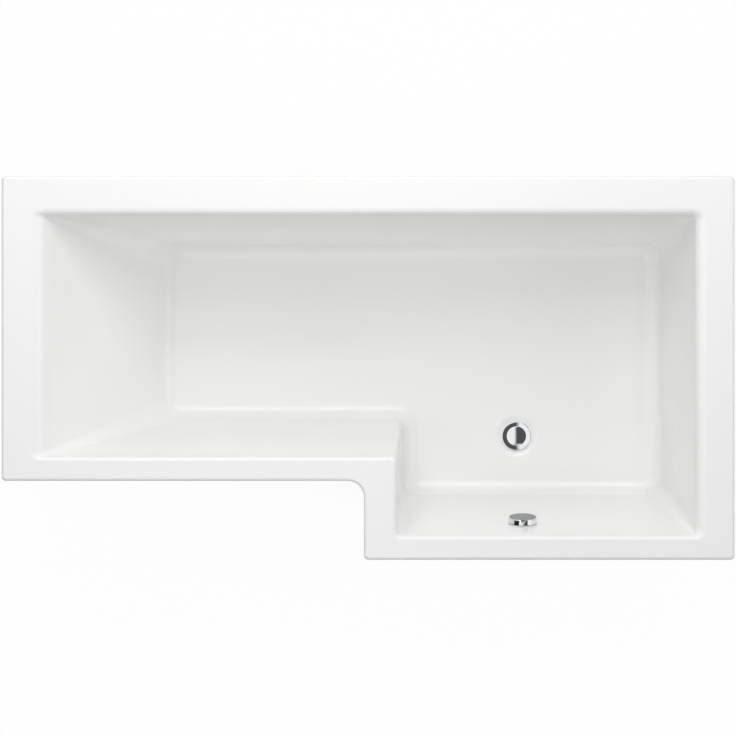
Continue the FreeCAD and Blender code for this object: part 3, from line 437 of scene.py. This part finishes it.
def round_off(form, width):
    """Round a form's sharp edges."""
    sharp = [edge for edge in form.edges if edge.calc_face_angle(0.0) > math.radians(pad_round_angle)]
    bmesh.ops.bevel(
        form, geom=sharp, offset=width, affect="EDGES", segments=3, profile=0.5, material=-1,
        clamp_overlap=True,
    )
    return form


def threaded_rod(radius, length):
    """Rod with a rolled thread: one pitch of its profile wound up the rod, cut square at both ends."""
    form = bmesh.new()
    chain = []
    for depth_share, pitch_share in thread_profile:
        reach = radius - depth_share * thread_depth
        chain.append(form.verts.new((reach, 0, (pitch_share - 1) * thread_pitch)))
    edges = [form.edges.new(pair) for pair in zip(chain, chain[1:])]
    turns = math.ceil(length / thread_pitch) + thread_spare_turns
    bmesh.ops.spin(
        form, geom=chain + edges, axis=(0, 0, 1), cent=(0, 0, 0), dvec=(0, 0, thread_pitch / thread_steps),
        angle=turns * math.tau, steps=turns * thread_steps, use_merge=False,
    )
    bmesh.ops.remove_doubles(form, verts=form.verts, dist=weld_reach)
    for height, outwards in ((0, -1), (length, 1)):
        everything = form.verts[:] + form.edges[:] + form.faces[:]
        cut = bmesh.ops.bisect_plane(
            form, geom=everything, plane_co=(0, 0, height), plane_no=(0, 0, outwards), clear_outer=True
        )["geom_cut"]
        bmesh.ops.holes_fill(form, edges=[item for item in cut if isinstance(item, bmesh.types.BMEdge)])
    bmesh.ops.recalc_face_normals(form, faces=form.faces)
    return form


def stood_at(form, low, high):
    """Copy of a form, moved from the upright axis to the middle of a box."""
    copied = form.copy()
    bmesh.ops.translate(copied, vec=((low[0] + high[0]) / 2, (low[1] + high[1]) / 2, 0), verts=copied.verts)
    return copied


black_plastic = moulded("black_moulding", foot_black, foot_black_worn, foot_roughness)
stud_low, stud_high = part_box("foot_stud_1")
pad_low, pad_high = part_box("foot_pad_1")
stud_radius = (stud_high[0] - stud_low[0]) / 2
pad_radius = (pad_high[0] - pad_low[0]) / 2
rod = threaded_rod(stud_radius, stud_high[2] - stud_low[2])
bmesh.ops.translate(rod, vec=(0, 0, stud_low[2]), verts=rod.verts)
pad_outline = (
    (0, pad_low[2]), (pad_radius, pad_low[2]), (pad_radius, pad_edge),
    (neck_radius + pad_step, pad_shoulder), (neck_radius, pad_shoulder + pad_step),
    (neck_radius, pad_high[2]), (stud_radius, pad_high[2]), (stud_radius, stud_low[2]), (0, stud_low[2]),
)
sole = round_off(turned(pad_outline), pad_bevel)
for foot in range(1, foot_count + 1):
    stud, pad = f"foot_stud_{foot}", f"foot_pad_{foot}"
    fit_piece("threaded_" + stud, stood_at(rod, *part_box(stud)), zinc, "zinc_steel", stud)
    even_light(fit_piece("moulded_" + pad, stood_at(sole, *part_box(pad)), black_plastic, "black_plastic", pad))
rod.free()
sole.free()
eased(fit_piece("hexagon_nuts", welded("foot_lock_nuts"), zinc, "zinc_steel", "foot_lock_nuts"), nut_ease)


# Waste: a chromed brass flange drawn down on the floor's dish by the plastic body below it, with a
# rubber washer each side. The body holds the lever and its pin, which push up the chromed plug.
chrome_bright = (0.86, 0.87, 0.88)
chrome_deep = (0.80, 0.81, 0.83)
chrome_cloud = 0.02
chrome_haze = 0.004
chrome_roughness = (0.03, 0.07)
pipe_white = (0.76, 0.76, 0.74)
pipe_pale = (0.82, 0.82, 0.80)
pipe_roughness = (0.38, 0.52)
rubber_black = (0.022, 0.022, 0.022)
rubber_grey = (0.040, 0.040, 0.040)
rubber_cloud = 0.01
rubber_bloom = 0.003
rubber_roughness = (0.65, 0.85)
rubber_grain = 0.0006
rubber_relief = 0.00004
steel_pale = (0.70, 0.70, 0.69)
steel_deep = (0.58, 0.58, 0.57)
steel_marks = 0.004
steel_marks_lie = (1, 8, 1)
steel_roughness = (0.22, 0.38)
washer_ease = 0.0004
mould_ease = 0.0005


def polished_chrome(tree):
    """Colour and roughness of a bright plating, nearly even."""
    colour = mix_colours(tree, mottle(tree, chrome_cloud), chrome_deep, chrome_bright)
    return colour, spread(tree, mottle(tree, chrome_haze, detail=4.0), *chrome_roughness)


def bright_chrome():
    material, tree, shader = start_finish("bright_chrome")
    colour, haze = polished_chrome(tree)
    tree.links.new(colour, shader.inputs["Base Color"])
    shader.inputs["Metallic"].default_value = 1.0
    tree.links.new(haze, shader.inputs["Roughness"])
    return material


def seal_rubber():
    """Black rubber with a dull bloom and a fine grain."""
    material, tree, shader = start_finish("seal_rubber")
    colour = mix_colours(tree, mottle(tree, rubber_cloud), rubber_black, rubber_grey)
    tree.links.new(colour, shader.inputs["Base Color"])
    bloom = spread(tree, mottle(tree, rubber_bloom), *rubber_roughness)
    tree.links.new(bloom, shader.inputs["Roughness"])
    raise_bump(tree, shader, mottle(tree, rubber_grain), rubber_relief)
    return material


def turned_steel():
    """Stainless steel with the fine marks of the lathe."""
    material, tree, shader = start_finish("turned_steel")
    marks = mottle(tree, steel_marks, detail=4.0, stretch=steel_marks_lie)
    tree.links.new(mix_colours(tree, marks, steel_deep, steel_pale), shader.inputs["Base Color"])
    shader.inputs["Metallic"].default_value = 1.0
    tree.links.new(spread(tree, marks, *steel_roughness), shader.inputs["Roughness"])
    return material


chrome = bright_chrome()
rubber = seal_rubber()
steel = turned_steel()
white_plastic = moulded("white_moulding", pipe_white, pipe_pale, pipe_roughness)
even_light(fit_piece("chromed_flange", welded("waste_flange"), chrome, "chrome", "waste_flange"))
even_light(fit_piece("chromed_plug", welded("plug"), chrome, "chrome", "plug"))
for washer in ("waste_top_gasket", "waste_bottom_gasket", "plug_seal"):
    eased(fit_piece("rubber_" + washer, welded(washer), rubber, "rubber_seal", washer), washer_ease)
even_light(fit_piece("moulded_waste", welded("waste_body"), white_plastic, "white_plastic", "waste_body"))
even_light(fit_piece("moulded_lever", welded("lift_lever"), black_plastic, "black_plastic", "lift_lever"))
even_light(fit_piece("turned_pin", welded("lever_pin"), steel, "stainless", "lever_pin"))


# Trap: white plastic mouldings under the waste. A cup on a ring nut holds the water that keeps the
# air out, and a second nut clamps the spigot that the house's pipe pushes on to.
for moulding in ("trap_body", "trap_nut", "outlet_nut", "outlet_spigot"):
    piece = fit_piece("moulded_" + moulding, welded(moulding), white_plastic, "white_plastic", moulding)
    eased(piece, mould_ease)


# Overflow: a chromed knob on a steel spindle, over a slotted ring that two screws draw through the
# wall on to the body and its washer. The spindle turns a drum that winds the plug's cable.
# Colour of the knob's face: chrome painted dark, a painted reflection of dark surroundings; only its roughness
# is a real brushed finish
knob_face_painted_dark = (0.22, 0.225, 0.23)
knob_face_painted_darker = (0.19, 0.195, 0.20)
knob_cloud = 0.01
knob_brush = 0.002
knob_brush_lie = (1, 12, 12)
knob_roughness = (0.28, 0.38)
knob_face_edge = (0.90, 0.97)
knob_skin = 0.031
knob_crown = 0.06
knob_joint = next(joint for joint in frame["record"]["behaviour"]["joints"] if joint["name"] == "knob_turn")
spindle_way = Vector(knob_joint["axis"])


def knob_face(tree):
    """1 on the knob's flat face, which looks along the spindle, and 0 round its side."""
    where = place(tree, "ShaderNodeTexCoord")
    along = place(tree, "ShaderNodeVectorMath", {"operation": "DOT_PRODUCT"})
    tree.links.new(where.outputs["Normal"], along.inputs[0])
    along.inputs[1].default_value = spindle_way
    return spread(tree, along.outputs["Value"], 0.0, 1.0, *knob_face_edge)


def knob_chrome():
    """Bright chrome round the knob's side, and on its face chrome painted dark, a painted dark reflection, with
    a brushed roughness.
    """
    material, tree, shader = start_finish("knob_chrome")
    polished, haze = polished_chrome(tree)
    painted_dark_face = mix_colours(tree, mottle(tree, knob_cloud), knob_face_painted_darker, knob_face_painted_dark)
    face = knob_face(tree)
    tree.links.new(mix_colours(tree, face, polished, painted_dark_face), shader.inputs["Base Color"])
    shader.inputs["Metallic"].default_value = 1.0
    brushed = spread(tree, mottle(tree, knob_brush, detail=4.0, stretch=knob_brush_lie), *knob_roughness)
    tree.links.new(mix_values(tree, face, haze, brushed), shader.inputs["Roughness"])
    return material


def crowned(form, wall_end, way):
    """Draw a knob's side in towards its face, which leads the buffing wheel off the edge."""
    for vertex in form.verts:
        along = (vertex.co - wall_end).dot(way)
        spoke = vertex.co - wall_end - along * way
        if spoke.length > knob_skin and along > 0:
            vertex.co -= spoke.normalized() * along * knob_crown
    return form


knob_form = crowned(welded("overflow_knob"), Vector(knob_joint["pos_m"]), spindle_way)
even_light(fit_piece("chromed_knob", knob_form, knob_chrome(), "chrome", "overflow_knob"))
for moulding in ("overflow_body", "overflow_rosette", "cable_box_cover"):
    piece = fit_piece("moulded_" + moulding, welded(moulding), white_plastic, "white_plastic", moulding)
    eased(piece, mould_ease)
for steel_part in ("overflow_screws", "knob_spindle"):
    even_light(fit_piece("steel_" + steel_part, welded(steel_part), steel, "stainless", steel_part))
even_light(fit_piece("moulded_drum", welded("cable_drum"), black_plastic, "black_plastic", "cable_drum"))
gasket = "overflow_gasket"
eased(fit_piece("rubber_" + gasket, welded(gasket), rubber, "rubber_seal", gasket), washer_ease)


# Overflow hose: grey plastic tube blown with ribs so that it bends, with a plain cuff at each end
# that a nut clamps. It runs down behind the wall from the overflow to the waste.
hose_route = (
    (0.364, -0.38288, 0.40145), (0.364, -0.33793, 0.190), (0.364, -0.328, 0.135), (0.364, -0.302, 0.110),
    (0.364, -0.256, 0.1085), (0.364, -0.199, 0.1085),
)
hose_radius = 0.014
hose_wall = 0.0014
rib_depth = 0.0022
rib_count = 35
rib_steps = 10
rib_flatness = 1.6
hose_sides = 28
hose_crease = 60.0
cuff_length = 0.028
hose_grey = (0.44, 0.45, 0.46)
hose_pale = (0.54, 0.55, 0.56)
hose_roughness = (0.4, 0.55)


def smooth_line(name, route):
    """Curve that runs smoothly past the points of a route."""
    data = bpy.data.curves.new(name, "CURVE")
    data.dimensions = "3D"
    line = data.splines.new("NURBS")
    line.points.add(len(route) - 1)
    for point, corner in zip(line.points, route):
        point.co = (*corner, 1)
    line.order_u = 3
    line.use_endpoint_u = True
    line.resolution_u = 24
    laid = bpy.data.objects.new(name, data)
    bpy.context.scene.collection.objects.link(laid)
    return laid


def ribbed_tube(length):
    """Straight tube along X with its ribs, cuffs and bore: its wall's outline turned about that axis."""
    ribbed = length - 2 * cuff_length
    outside = [(0, hose_radius - rib_depth / 2)]
    for step in range(rib_count * rib_steps + 1):
        wave = rib_flatness * math.cos(math.tau * step / rib_steps + math.pi)
        bulge = max(-1.0, min(1.0, wave))
        reach = hose_radius - rib_depth * (1 - bulge) / 2
        outside.append((cuff_length + ribbed * step / (rib_count * rib_steps), reach))
    outside.append((length, hose_radius - rib_depth / 2))
    inside = [(along, reach - hose_wall) for along, reach in reversed(outside)]
    form = bmesh.new()
    loop = [form.verts.new((along, 0, reach)) for along, reach in outside + inside]
    edges = [form.edges.new(pair) for pair in zip(loop, loop[1:] + loop[:1])]
    bmesh.ops.spin(
        form, geom=loop + edges, axis=(1, 0, 0), cent=(0, 0, 0), angle=math.tau, steps=hose_sides,
        use_merge=True,
    )
    bmesh.ops.recalc_face_normals(form, faces=form.faces)
    return form


def lay_along(piece, line):
    """Bend a straight piece along a curve for good, and take the curve away."""
    bend = piece.modifiers.new("laid", "CURVE")
    bend.object = line
    bent = bpy.data.meshes.new_from_object(piece.evaluated_get(bpy.context.evaluated_depsgraph_get()))
    piece.modifiers.remove(bend)
    piece.data = bent
    bpy.data.objects.remove(line)


hose_line = smooth_line("hose_line", hose_route)
hose_length = hose_line.data.splines[0].calc_length()
hose_plastic = moulded("hose_plastic", hose_grey, hose_pale, hose_roughness)
hose_form = ribbed_tube(hose_length)
hose = fit_piece("ribbed_hose", hose_form, hose_plastic, "grey_hose", "overflow_hose", crease=hose_crease)
lay_along(hose, hose_line)
for nut in ("hose_nut_top", "hose_nut_bottom"):
    eased(fit_piece("moulded_" + nut, welded(nut), white_plastic, "white_plastic", nut), mould_ease)


# Control cable: a steel core that slides in a black plastic sheath, from the knob's drum to the
# lever in the waste. The sheath is held in the overflow's boss and in the waste's gland.
cable_route = (
    (0.36951, -0.40883, 0.42251), (0.3705, -0.3795, 0.2755), (0.36951, -0.35303, 0.160),
    (0.498, -0.285, 0.09984), (0.498, -0.167, 0.09684), (0.410, -0.167, 0.09684),
)
sheath_radius = 0.0025
sheath_black = (0.030, 0.030, 0.033)
sheath_dull = (0.055, 0.055, 0.058)
sheath_roughness = (0.3, 0.45)

cable = smooth_line("cable_sheath", cable_route)
cable.data.bevel_depth = sheath_radius
cable.data.bevel_resolution = 4
cable.data.use_fill_caps = True
cable.data.materials.append(moulded("sheath_plastic", sheath_black, sheath_dull, sheath_roughness))
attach(cable, "bath")
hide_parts("control_cable")
even_light(fit_piece("moulded_gland", welded("cable_gland"), black_plastic, "black_plastic", "cable_gland"))
even_light(fit_piece("steel_core_end", welded("cable_core_end"), steel, "stainless", "cable_core_end"))


# Studio: a pale floor that runs out of sight, with a soft shade on it under the bath. Large soft lamps
# stand round and above the bath, and faint ones on the floor light its outside. Dark cards overhead
# and the white sky show in reflections, and the camera looks straight down.
floor_reach = 40.0
floor_pale = 0.6
floor_seen_pale = 0.9
floor_roughness = 0.9
shadow_share = 0.03
shade_reach = 0.3
shade_level = 0.72
open_enough = 0.85
sky_level = 0.03
photo_width = 1.7055
rim_top = frame["record"]["size"]["bbox_m"][2]
camera_rise = 7.04
sensor_width = 36.0
sight_reach = 100.0
card_rise = 3.0
card_fade = 0.12
# Each card: its reach along X, its reach along Y, the fade of its left edge, how light it is
cards = {
    "left_card": ((-12.0, -1.45), (-1.1, -0.6), card_fade, 0.01),
    "right_card": ((0.1, 2.9), (-20.0, 20.0), 0.5, 0.09),
    "far_card": ((13.0, 60.0), (-20.0, 20.0), card_fade, 0.05),
}
bath_middle = (0, 0, 0.4)
# Each lamp: its place, where it points, its width and depth, its watts, whether reflections show it
lamps = {
    "back_softbox": ((0, 2.0, 2.6), bath_middle, (3.0, 1.5), 41.0, True),
    "back_low": ((0, 3.5, 1.5), bath_middle, (4.0, 1.0), 29.0, False),
    "back_far": ((0, 4.5, 4.5), bath_middle, (4.0, 2.5), 22.0, False),
    "front_fill": ((0, -4.0, 4.0), bath_middle, (4.0, 2.5), 59.0, True),
    "left_fill": ((-4.0, 0, 2.8), bath_middle, (1.6, 4.0), 33.0, False),
    "right_fill": ((4.0, 0, 2.8), bath_middle, (1.6, 4.0), 42.0, False),
    "top_fill": ((0, 0, 4.0), bath_middle, (4.0, 4.0), 55.0, False),
    "front_low": ((0, -0.95, 0.03), (0, -0.3, 0.45), (2.4, 0.3), 1.7, False),
    "left_low": ((-1.35, 0, 0.03), (-0.6, 0, 0.4), (0.3, 1.2), 0.7, False),
    "right_low": ((1.35, 0, 0.03), (0.7, 0, 0.45), (0.3, 1.2), 0.7, False),
}


def seen_by(tree, *kinds):
    """1 for rays of some kinds, such as those from the camera, and 0 for others."""
    path = place(tree, "ShaderNodeLightPath")
    seen = path.outputs[f"Is {kinds[0]} Ray"]
    for kind in kinds[1:]:
        seen = larger_of(tree, seen, path.outputs[f"Is {kind} Ray"])
    return seen


def flat_sheet(name, centre, width, depth, material):
    """Level sheet of the studio, which is no part of the bath."""
    form = bmesh.new()
    bmesh.ops.create_grid(form, x_segments=1, y_segments=1, size=0.5)
    bmesh.ops.scale(form, vec=(width, depth, 1), verts=form.verts)
    bmesh.ops.translate(form, vec=centre, verts=form.verts)
    mesh = bpy.data.meshes.new(name)
    form.to_mesh(mesh)
    form.free()
    mesh.materials.append(material)
    sheet = bpy.data.objects.new(name, mesh)
    bpy.context.scene.collection.objects.link(sheet)
    return sheet


def pale_floor():
    """Pale sheet that looks white, with a shade close under the bath, and throws some light back up."""
    material, tree, shader = start_finish("pale_floor")
    seen = seen_by(tree, "Camera", "Glossy", "Transmission")
    shade = mix_colours(tree, seen, (floor_pale,) * 3, (floor_seen_pale,) * 3)
    tree.links.new(shade, shader.inputs["Base Color"])
    shader.inputs["Roughness"].default_value = floor_roughness
    shader.inputs["Specular IOR Level"].default_value = 0.0
    glow = place(tree, "ShaderNodeEmission", inputs={"Strength": 1.0})
    # Painted shade: ambient occlusion darkens the floor's glow where the bath hangs close above it
    open_sky = place(tree, "ShaderNodeAmbientOcclusion", inputs={"Distance": shade_reach})
    open_share = spread(tree, open_sky.outputs["AO"], 0.0, 1.0, 0.0, open_enough)
    under_bath = mix_colours(tree, open_share, (shade_level,) * 3, (1.0,) * 3)
    tree.links.new(under_bath, glow.inputs["Color"])
    mix = place(tree, "ShaderNodeMixShader")
    share = spread(tree, seen, 0.0, 1.0 - shadow_share, 0.0, 1.0)
    tree.links.new(share, mix.inputs[0])
    tree.links.new(shader.outputs[0], mix.inputs[1])
    tree.links.new(glow.outputs[0], mix.inputs[2])
    tree.links.new(mix.outputs[0], tree.nodes["Material Output"].inputs["Surface"])
    return material


flat_sheet("floor", Vector((0, 0, 0)), floor_reach, floor_reach, pale_floor())


def card_paint(name, left, right, fade, level):
    """Dark card whose long edges fade into the white round it, the left one over its own width."""
    material, tree = start_finish(name)[:2]
    across = place(tree, "ShaderNodeSeparateXYZ")
    tree.links.new(in_place(tree), across.inputs[0])
    from_left = spread(tree, across.outputs["X"], 1.0, 0.0, left, left + fade)
    from_right = spread(tree, across.outputs["X"], 0.0, 1.0, right - card_fade, right)
    edge = larger_of(tree, from_left, from_right)
    glow = place(tree, "ShaderNodeEmission")
    tree.links.new(mix_colours(tree, edge, (level,) * 3, (1.0,) * 3), glow.inputs["Color"])
    tree.links.new(glow.outputs[0], tree.nodes["Material Output"].inputs["Surface"])
    return material


for name, ((left, right), (front, back), fade, level) in cards.items():
    middle = Vector(((left + right) / 2, (front + back) / 2, rim_top + card_rise))
    card = flat_sheet(name, middle, right - left, back - front, card_paint(name, left, right, fade, level))
    card.visible_camera = False
    card.visible_diffuse = False
    card.visible_shadow = False
    card.visible_transmission = False

world = bpy.data.worlds.new("studio")
bpy.context.scene.world = world
world.use_nodes = True
sky = world.node_tree
backdrop = place(sky, "ShaderNodeBackground", inputs={"Strength": 1.0})
ambient = sky.nodes["Background"]
ambient.inputs["Color"].default_value = (1, 1, 1, 1)
ambient.inputs["Strength"].default_value = sky_level
backdrop.inputs["Color"].default_value = (1, 1, 1, 1)
both = place(sky, "ShaderNodeMixShader")
sky.links.new(seen_by(sky, "Camera", "Glossy", "Transmission"), both.inputs[0])
sky.links.new(ambient.outputs[0], both.inputs[1])
sky.links.new(backdrop.outputs[0], both.inputs[2])
sky.links.new(both.outputs[0], sky.nodes["World Output"].inputs["Surface"])


def soft_lamp(name, centre, aim, size, power, mirrored):
    """Flat lamp turned to a point, in watts, that reflections show only if it is mirrored."""
    light = bpy.data.lights.new(name, "AREA")
    light.shape = "RECTANGLE"
    light.size, light.size_y = size
    light.energy = power
    lamp = bpy.data.objects.new(name, light)
    lamp.location = centre
    lamp.rotation_euler = (Vector(aim) - Vector(centre)).to_track_quat("-Z", "Y").to_euler()
    lamp.visible_camera = False
    lamp.visible_glossy = mirrored
    bpy.context.scene.collection.objects.link(lamp)


for name, lamp in lamps.items():
    soft_lamp(name, *lamp)

camera_data = bpy.data.cameras.new("camera")
camera_data.sensor_width = sensor_width
camera_data.lens = sensor_width * camera_rise / photo_width
camera_data.clip_end = sight_reach
camera = bpy.data.objects.new("camera", camera_data)
camera.location = (0, 0, rim_top + camera_rise)
bpy.context.scene.collection.objects.link(camera)
bpy.context.scene.camera = camera
bpy.context.scene.view_settings.view_transform = "Standard"
